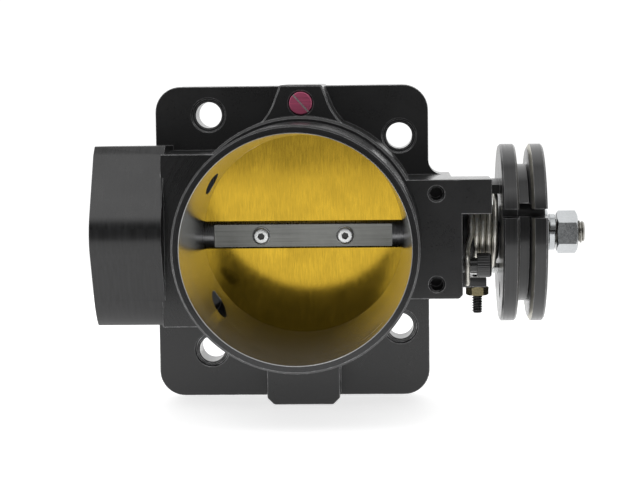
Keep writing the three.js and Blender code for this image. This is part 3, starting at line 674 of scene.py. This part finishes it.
plate = prism(rounded_outline(FLANGE["left"], FLANGE["right"], FLANGE["bottom"], FLANGE["top"], FLANGE["corner"]),
              "y", FLANGE["front"], BACK_Y, 0.5)
left_block = block((DRUM["right"] - 1, FACE_Y, -LEFT_BLOCK_Z), (0, FLANGE["front"] + 1, LEFT_BLOCK_Z))
tab_corner = TAB["corner"]
tab_outline = [
    (TAB["left"], -30), (TAB["left"], body_low.z + tab_corner), (TAB["left"] + tab_corner, body_low.z),
    (TAB["right"] - tab_corner, body_low.z), (TAB["right"], body_low.z + tab_corner), (TAB["right"], -30),
]
tab = prism(tab_outline, "y", TAB["front"], BACK_Y, 0.5)
billet = unite(barrel(), plate, left_block, drum(), boss(), tab, *right_block())
billet = cut(billet, bore_cutter(), *bolt_cutters(), *shaft_line_cutters(), *small_cutters())
settle(billet, "billet_body", "housing",
       [black_milled, bore_metal, black_turned_x, black_turned_y, bare_edge, black_scored], ["main_body"],
       choose=body_surface)


# ---- the shaft, the blade and its screws ----
def shaft():
    left_step, right_step = BEARINGS["left"] + BEARING["half"], BEARINGS["right"] - BEARING["half"]
    thread_start = pulley_high.x + 1
    rod = lathe([
        (0, shaft_low.x), (JOURNAL_R - 0.5, shaft_low.x), (JOURNAL_R, shaft_low.x + 0.5), (JOURNAL_R, left_step),
        (SHAFT_R - 0.2, left_step), (SHAFT_R, left_step + 0.2), (SHAFT_R, right_step - 0.2),
        (SHAFT_R - 0.2, right_step), (JOURNAL_R, right_step), (JOURNAL_R, thread_start),
        (JOURNAL_R - 0.9, thread_start + 0.4), (0, thread_start + 0.4),
    ])
    reach, slot_half = SHAFT_R + 1, BLADE_T / 2 + GAP
    across_bore = [
        block((-BORE_R, -slot_half, -reach), (BORE_R, slot_half, reach), 0),
        block((-FLAT_END, FLAT_Y, -reach), (FLAT_END, reach, reach), 0.3),
        block((-FLAT_END, -reach, -reach), (FLAT_END, -FLAT_Y, reach), 0.3),
        *[hole("y", 2.3, -FLAT_Y, 6, (side * BLADE_SCREW_X, 0), 0.3) for side in (-1, 1)],
    ]
    tang = BEARINGS["left"] - 5
    ends = [
        block((shaft_low.x - 1, 1.25, -reach), (tang, reach, reach), 0.1),
        block((shaft_low.x - 1, -reach, -reach), (tang, -1.25, reach), 0.1),
        block((PULLEY["left"], DRIVE_HALF - GAP, -reach), (PULLEY["right"], reach, reach), 0.1),
        block((PULLEY["left"], -reach, -reach), (PULLEY["right"], GAP - DRIVE_HALF, reach), 0.1),
    ]
    cut(rod, *[turn(tool, TILT) for tool in across_bore], *ends)
    return unite(rod, threaded("x", JOURNAL_R, 1.25, thread_start - 0.5, shaft_high.x, lead=0.9))


def shaft_surface(centre, normal):
    if centre.x > pulley_high.x:
        return stub_steel
    flat = abs(centre.x) < FLAT_END and abs(normal.y) > 0.9
    return ground_steel if flat else turned_steel


settle(shaft(), "cross_shaft", "throttle", [ground_steel, turned_steel, stub_steel],
       ["throttle_shaft"], choose=shaft_surface)

half, reach = BLADE_T / 2, BORE_R + 2
blade = turn(block((-reach, -half, -reach), (reach, half, reach), 0), TILT)
blade = keep_inside(blade, bar("y", BORE_R - 0.03, -8, 8, segments=256))
settle(blade, "butterfly_blade", "throttle", [brass], ["throttle_blade"])

for side, x in (("left", -BLADE_SCREW_X), ("right", BLADE_SCREW_X)):
    seat = -FLAT_Y - GAP
    dome = [(2.25 + 0.7 * math.cos(a), seat - 0.35 - 1.13 * math.sin(a))
            for a in (math.radians(90 * i / 8) for i in range(8, -1, -1))]
    screw = lathe([(0, dome[0][1]), *dome, (3.15, seat - 0.25), (3.15, seat), (2, seat), (2, FLAT_Y), (0, FLAT_Y)],
                  "y", segments=64)
    socket = hex_bar("y", 2.3, seat - 4, seat - 0.5, turned=12 if side == "left" else 41)
    screw = turn(shift(cut(screw, socket), x, 0, 0), TILT)

    # Faces inside the socket get the near-black steel: painted shade.
    def in_socket(centre, normal, x=x):
        return socket_shade if math.hypot(centre.x - x, centre.z) < 1.2 and centre.y < 0 else bright_steel

    settle(screw, f"blade_screw_{side}_head", "throttle", [bright_steel, socket_shade],
           [f"blade_screw_{side}"], 40, in_socket)


# ---- bearings, seals and retaining rings ----
def race(start, end, track_r, edge_r, way, track):
    """One bearing ring: its ball track at track_r and its plain cylinder at edge_r, broken at both ends."""
    corner = edge_r - way * 0.2
    groove = [(track_r + way * depth, station) for station, depth in reversed(track)]
    return lathe([
        (track_r, start), (corner, start), (edge_r, start + 0.2), (edge_r, end - 0.2), (corner, end), (track_r, end),
        *groove,
    ])


for side, middle in BEARINGS.items():
    out = -1 if side == "left" else 1
    ends = (middle - BEARING["half"], middle + BEARING["half"])
    angles = [math.radians(a) for a in range(-80, 81, 16)]
    track = [(middle + BEARING["ball"] * math.sin(a), BEARING["track_depth"] * math.cos(a)) for a in angles]
    outer = race(*ends, BEARING["outer_track"], BEARING["outer"], 1, track)
    inner = race(*ends, BEARING["inner_track"], BEARING["inner"], -1, track)
    settle(outer, f"outer_race_{side}", "housing", [bearing_steel], [f"bearing_outer_race_{side}"])
    settle(inner, f"inner_race_{side}", "throttle", [bearing_steel], [f"bearing_inner_race_{side}"])
    cage = lathe([(7.1, middle - 0.6), (8.1, middle - 0.6), (8.1, middle + 2.2), (7.1, middle + 2.2)], segments=96)
    for i in range(8):
        bm = bmesh.new()
        bmesh.ops.create_uvsphere(bm, u_segments=24, v_segments=14, radius=BEARING["ball"])
        u, v = around(BEARING["pitch"], 45 * i)
        bmesh.ops.translate(bm, vec=(middle, u, v), verts=bm.verts)
        cage = unite(cage, new_object("ball", bm))
    settle(cage, f"ball_set_{side}", "housing", [bearing_steel], [f"bearing_ball_set_{side}"])
    clip_start, clip_end = sorted((middle + out * 3.8, middle + out * 4.8))
    clip = lathe([(9.4, clip_start), (10.7, clip_start), (10.7, clip_end), (9.4, clip_end)], segments=96)
    clip = cut(clip, block((clip_start - 1, 0, -2.4), (clip_end + 1, 15, 2.4), 0))
    settle(clip, f"snap_ring_{side}", "housing", [black_oxide], [f"retaining_ring_{side}"])
    seal_start, seal_end = sorted((middle - out * 4.1, middle - out * 7.1))
    seal = lathe([(5.3, seal_start), (8, seal_start), (8, seal_end), (5.3, seal_end)], segments=64)
    settle(seal, f"lip_seal_{side}", "housing", [rubber], [f"shaft_seal_{side}"])


# ---- the pulley side ----
def pulley():
    left, right, r, floor = PULLEY["left"], PULLEY["right"], PULLEY["r"], PULLEY["floor"]
    groove_left, groove_right = PULLEY["groove"]
    rim = 0.6
    wheel = lathe([
        (0, left), (r - rim, left), (r, left + rim), (r, groove_left - rim), (r - rim, groove_left),
        (floor + 0.6, groove_left), (floor, groove_left + 0.6), (floor, groove_right - 0.6),
        (floor + 0.6, groove_right), (r - 1.6, groove_right), (r, groove_right + 0.9), (r, right - rim),
        (r - rim, right), (0, right),
    ], segments=224)
    lug = lathe([(16.2, pulley_low.x), (18.6, pulley_low.x), (19, pulley_low.x + 0.4), (19, left + 0.5),
                 (16.2, left + 0.5)], segments=128)
    lug = keep_inside(lug, block((pulley_low.x - 1, -8, 0), (left + 1, 8, 20), 0))
    flats = block((left - 2, -DRIVE_HALF, -6), (right + 2, DRIVE_HALF, 6), 0)
    drive = keep_inside(bar("x", JOURNAL_R + GAP, left - 1, right + 1), flats)
    z, slot_half, end = SLOT["z"], SLOT["half"], SLOT["end"]
    pin = around(STOP_PIN["orbit"], STOP_PIN["angle"])
    leg = around(SPRING["mean"] + SPRING["rise"], 180 - SPRING["turns"] * 360)
    holes = [hole("x", 3, right, left - 1, around(20.5, angle), 0.4) for angle in (252, 18)]
    return cut(
        unite(wheel, lug),
        drive,
        block((left - 1, -r - 1, z - slot_half), (right + 1, end, z + slot_half), 0),
        bar("x", 3.1, groove_left, right + 1, (end + 1.5, z)),
        hole("x", 2.3, left, left + 4, pin, 0.2),
        hole("x", 1.25, left, left + 3, leg, 0.2),
        *holes,
        hole("x", 8.6, right, right - 0.6, (0, 0), 0.2, 96),
    )


def pulley_surface(centre, normal):
    """The bevel that leads the cable into the groove gets a pale cream metal band, a painted reflection of the
    bright studio.
    """
    groove_right = PULLEY["groove"][1]
    bevel = groove_right - 0.1 < centre.x < groove_right + 1 and math.hypot(centre.y, centre.z) > PULLEY["r"] - 1.7
    return painted_rim_reflection if bevel and -0.97 < normal.x < -0.5 else pulley_black


settle(pulley(), "grooved_pulley", "throttle", [pulley_black, painted_rim_reflection], ["cable_pulley"],
       choose=pulley_surface)


def plain_ring(node, inner, chamfer=0.3, segments=96):
    """A ring about the shaft that fills its CAD node's box."""
    low, high = mm_box(node)
    start, end, outer = low.x, high.x, high.z
    return lathe([
        (inner, start), (outer - chamfer, start), (outer, start + chamfer), (outer, end - chamfer),
        (outer - chamfer, end), (inner, end),
    ], segments=segments)


settle(plain_ring("shaft_spacer", 4.3), "spacer_tube", "throttle", [turned_steel], ["shaft_spacer"])
settle(plain_ring("spring_bush_inner", 5.6, 0.6), "fixed_spring_bush", "housing", [nylon],
       ["spring_bush_inner"])
settle(plain_ring("spring_bush_outer", 5.6, 0.6), "turning_spring_bush", "throttle", [nylon],
       ["spring_bush_outer"])
settle(plain_ring("pulley_washer", 4.3, 0.25), "flat_washer", "throttle", [zinc], ["pulley_washer"])


def split_washer():
    """A spring washer: a square section once round the shaft, its ends a little out of line at the split."""
    low, high = mm_box("lock_washer")
    outer, lift = high.z, 0.35
    steps, gap = 90, 5
    bm = bmesh.new()
    rings = []
    for i in range(steps + 1):
        along = i / steps
        u, v = around(1, 172 + gap / 2 + (360 - gap) * along)
        start, end = low.x + lift * along, high.x - lift * (1 - along)
        rings.append([bm.verts.new((s, r * u, r * v)) for r, s in
                      ((4.3, start), (outer - 0.15, start), (outer, start + 0.15), (outer, end - 0.15),
                       (outer - 0.15, end), (4.3, end))])
    skin(bm, rings)
    bm.faces.new(rings[0])
    bm.faces.new(rings[-1])
    return new_object("washer", bm)


settle(split_washer(), "split_washer", "throttle", [zinc], ["lock_washer"])
nut_low, nut_high = mm_box("shaft_nut")
settle(hex_nut("x", 13, nut_low.x, nut_high.x, (0, 0), 4.15, 30), "shaft_end_nut", "throttle",
       [zinc], ["shaft_nut"])

pin_low, pin_high = mm_box("stop_pin")
pin_at = around(STOP_PIN["orbit"], STOP_PIN["angle"])
pin = lathe([
    (0, pin_low.x), (1.6, pin_low.x), (2, pin_low.x + 0.4), (2, pin_high.x), (0, pin_high.x),
], "x", pin_at, 48)
settle(pin, "stop_dowel", "throttle", [bright_steel], ["stop_pin"])


# ---- the return spring ----
def spring_line():
    """Hooked leg before the anchor screw, close coils that rise over the last half turn, then a short leg."""
    mean, turns = SPRING["mean"], SPRING["turns"]
    leg_x, bend, leg_end = BLOCK["right"] + 1.8, 4.1, -16.2
    anchor_y, anchor_z = ANCHOR["y"], ANCHOR["z"]
    points = [(leg_x, anchor_y - bend, leg_end), (leg_x, anchor_y - bend, leg_end + 3)]
    for degrees in (180, 150, 120, 95):
        u, v = around(bend, degrees)
        points.append((leg_x, anchor_y + u, anchor_z + v))
    points.append((leg_x + 0.4, -13, -3.2))
    steps = round(turns * 16)
    for i in range(steps + 1):
        along = i / steps
        station = SPRING["start"] + (SPRING["end"] - SPRING["start"]) * along
        last_half_turn = max(0, 1 - 2 * turns * (1 - along))
        points.append((station, *around(mean + SPRING["rise"] * last_half_turn ** 2, 180 - turns * 360 * along)))
    tail = around(mean + SPRING["rise"], 180 - turns * 360)
    points += [(SPRING["end"] + 1.4, *tail), (SPRING["end"] + 3.4, *tail)]
    return spline(points, 5)


spring = settle(wire(spring_line(), SPRING["wire"]), "coil_return_spring", None, [spring_wire],
                ["return_spring"], 60)
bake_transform(spring)


# ---- screws in the body ----
def anchor_screw():
    low, high = mm_box("spring_anchor_screw")
    head_start = 60.2
    head = lathe([
        (0, head_start), (4.0, head_start), (4.2, head_start + 0.2), (4.2, high.x - 0.6), (3.7, high.x), (0, high.x),
    ], segments=72, ripple=0.12)
    shank = lathe([(0, low.x), (2.2, low.x), (2.5, low.x + 0.4), (2.5, head_start + 0.5), (0, head_start + 0.5)])
    screw = cut(unite(head, shank), hex_bar("x", 4, high.x - 2.5, high.x + 1))
    return shift(screw, 0, ANCHOR["y"], ANCHOR["z"])


settle(anchor_screw(), "spring_anchor_cap_screw", "housing", [black_oxide], ["spring_anchor_screw"])
idle_low, idle_high = mm_box("idle_stop_screw")
idle_at = (IDLE["x"], IDLE["y"])
idle = threaded("z", 1.9, 0.9, idle_low.z, idle_high.z, idle_at, 0.5)
idle = cut(idle, hex_bar("z", 1.9, idle_low.z - 1, idle_low.z + 2, idle_at))
settle(idle, "idle_screw", "housing", [black_oxide], ["idle_stop_screw"])
lock_low, lock_high = mm_box("idle_stop_nut")
settle(hex_nut("z", 7, lock_low.z, lock_high.z, idle_at, 2.2, 0), "idle_lock_nut", "housing",
       [yellow_zinc], ["idle_stop_nut"])


def bypass_screw():
    low, high = mm_box("idle_bypass_screw")
    front, end = low.y, high.y
    screw = lathe([
        (0, front), (3.6, front), (3.85, front + 0.25), (3.85, front + 5.8), (2.9, front + 5.8),
        (2.9, front + 8.2), (3.85, front + 8.2), (3.85, front + 11.4), (1.2, end), (0, end),
    ], "y", segments=72)
    slot = turn(block((-5, front - 1, -0.3), (5, front + 0.8, 0.3), 0), 48, "Y")
    return shift(cut(screw, slot), BOSS["x"], 0, BOSS["z"])


bypass_front = mm_box("idle_bypass_screw")[0].y


def in_slot(centre, normal):
    inside = math.hypot(centre.x - BOSS["x"], centre.z - BOSS["z"]) < 3.7
    return bright_steel if inside and bypass_front + 0.3 < centre.y < bypass_front + 1 else rose


settle(bypass_screw(), "bypass_air_screw", "housing", [rose, bright_steel], ["idle_bypass_screw"],
       choose=in_slot)
seal_low, seal_high = mm_box("bypass_screw_seal")
seal = lathe([(3.1, seal_low.y), (3.7, seal_low.y), (3.8, seal_low.y + 0.4), (3.8, seal_high.y - 0.4),
              (3.7, seal_high.y), (3.1, seal_high.y)], "y", (BOSS["x"], BOSS["z"]), 64)
settle(seal, "bypass_o_ring", "housing", [rubber], ["bypass_screw_seal"])


# ---- floor, light and camera ----
def studio():
    """A pale round floor under the object, in a studio that is white behind and above it and dark in front."""
    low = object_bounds()[0]
    bm = bmesh.new()
    bmesh.ops.create_circle(bm, cap_ends=True, segments=128, radius=0.36)
    floor = new_object("floor", bm)
    floor.location = (0, CENTRE.y, low.z - 0.0002)
    material = new_material("floor_white")
    nodes = Nodes(material.node_tree)
    nodes.shader.inputs["Base Color"].default_value = (0.68, 0.68, 0.68, 1)
    nodes.shader.inputs["Roughness"].default_value = 0.6
    nodes.shader.inputs["Emission Color"].default_value = (1, 1, 1, 1)
    nodes.shader.inputs["Emission Strength"].default_value = 0.72
    floor.data.materials.append(material)
    floor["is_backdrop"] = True


# how bright the studio is at each angle up from the front, over the top and down behind, in degrees
STUDIO_BANDS = [
    (-180, 0.95), (-100, 0.8), (-13, 0.7), (-9, 0.15), (42, 0.15), (54, 1.0), (90, 0.9), (99, 0.35), (108, 1.2),
    (128, 1.2), (150, 1.15), (180, 1.15),
]


def studio_world():
    """Light that depends only on direction: bright above and behind, dark straight ahead of the inlet."""
    world = bpy.data.worlds.new("studio")
    scene.world = world
    world.use_nodes = True
    nodes = Nodes(world.node_tree)
    way = nodes.add("ShaderNodeSeparateXYZ", {0: nodes.add("ShaderNodeTexCoord").outputs["Generated"]})
    x, y, z = way.outputs
    angle = nodes.maths("ARCTAN2", z, nodes.maths("MULTIPLY", y, -1.0))
    ramp = nodes.add("ShaderNodeValToRGB", {0: nodes.spread(angle, -math.pi, math.pi, 0.0, 1.0)})
    stops = ramp.color_ramp.elements
    brightest = max(level for _, level in STUDIO_BANDS)
    while len(stops) < len(STUDIO_BANDS):
        stops.new(0.5)
    for stop, (degrees, level) in zip(stops, STUDIO_BANDS):
        stop.position = (degrees + 180) / 360
        stop.color = (*[level / brightest] * 3, 1)
    side_on = nodes.spread(nodes.maths("ABSOLUTE", x), 0.75, 0.95, 0.0, 1.0)
    light = nodes.add("ShaderNodeMix", {0: side_on, 2: nodes.maths("MULTIPLY", ramp.outputs[0], brightest), 3: 0.85},
                      data_type="FLOAT").outputs[0]
    seen = nodes.add("ShaderNodeLightPath").outputs["Is Camera Ray"]
    strength = nodes.add("ShaderNodeMix", {0: seen, 2: light, 3: 1.1}, data_type="FLOAT").outputs[0]
    background = world.node_tree.nodes["Background"]
    background.inputs["Color"].default_value = (1, 1, 1, 1)
    nodes.feed(background.inputs["Strength"], strength)


def soft_light(name, place, aim, size, power):
    light = bpy.data.lights.new(name, "AREA")
    light.shape = "RECTANGLE"
    light.size, light.size_y = size
    light.energy = power
    obj = bpy.data.objects.new(name, light)
    obj.location = place
    obj.rotation_mode = "QUATERNION"
    obj.rotation_quaternion = (Vector(aim) - Vector(place)).to_track_quat("-Z", "Y")
    scene.collection.objects.link(obj)


def camera():
    data = bpy.data.cameras.new("camera")
    data.sensor_width, data.lens = CAMERA["sensor"], CAMERA["lens"]
    data.clip_start, data.clip_end = 0.05, 20
    obj = bpy.data.objects.new("camera", data)
    turned = Matrix.Identity(4)
    for angle, axis in CAMERA_TURNS:
        turned = turned @ Matrix.Rotation(angle, 4, axis)
    obj.matrix_world = Matrix.Translation(CENTRE + Vector(CAMERA["at"]) * MM) @ turned
    scene.collection.objects.link(obj)
    scene.camera = obj


studio()
studio_world()
soft_light("key", (-0.25, -0.55, 0.75), (0, 0, 0), (0.7, 0.5), 1.2)
camera()
scene.view_settings.view_transform = "Standard"
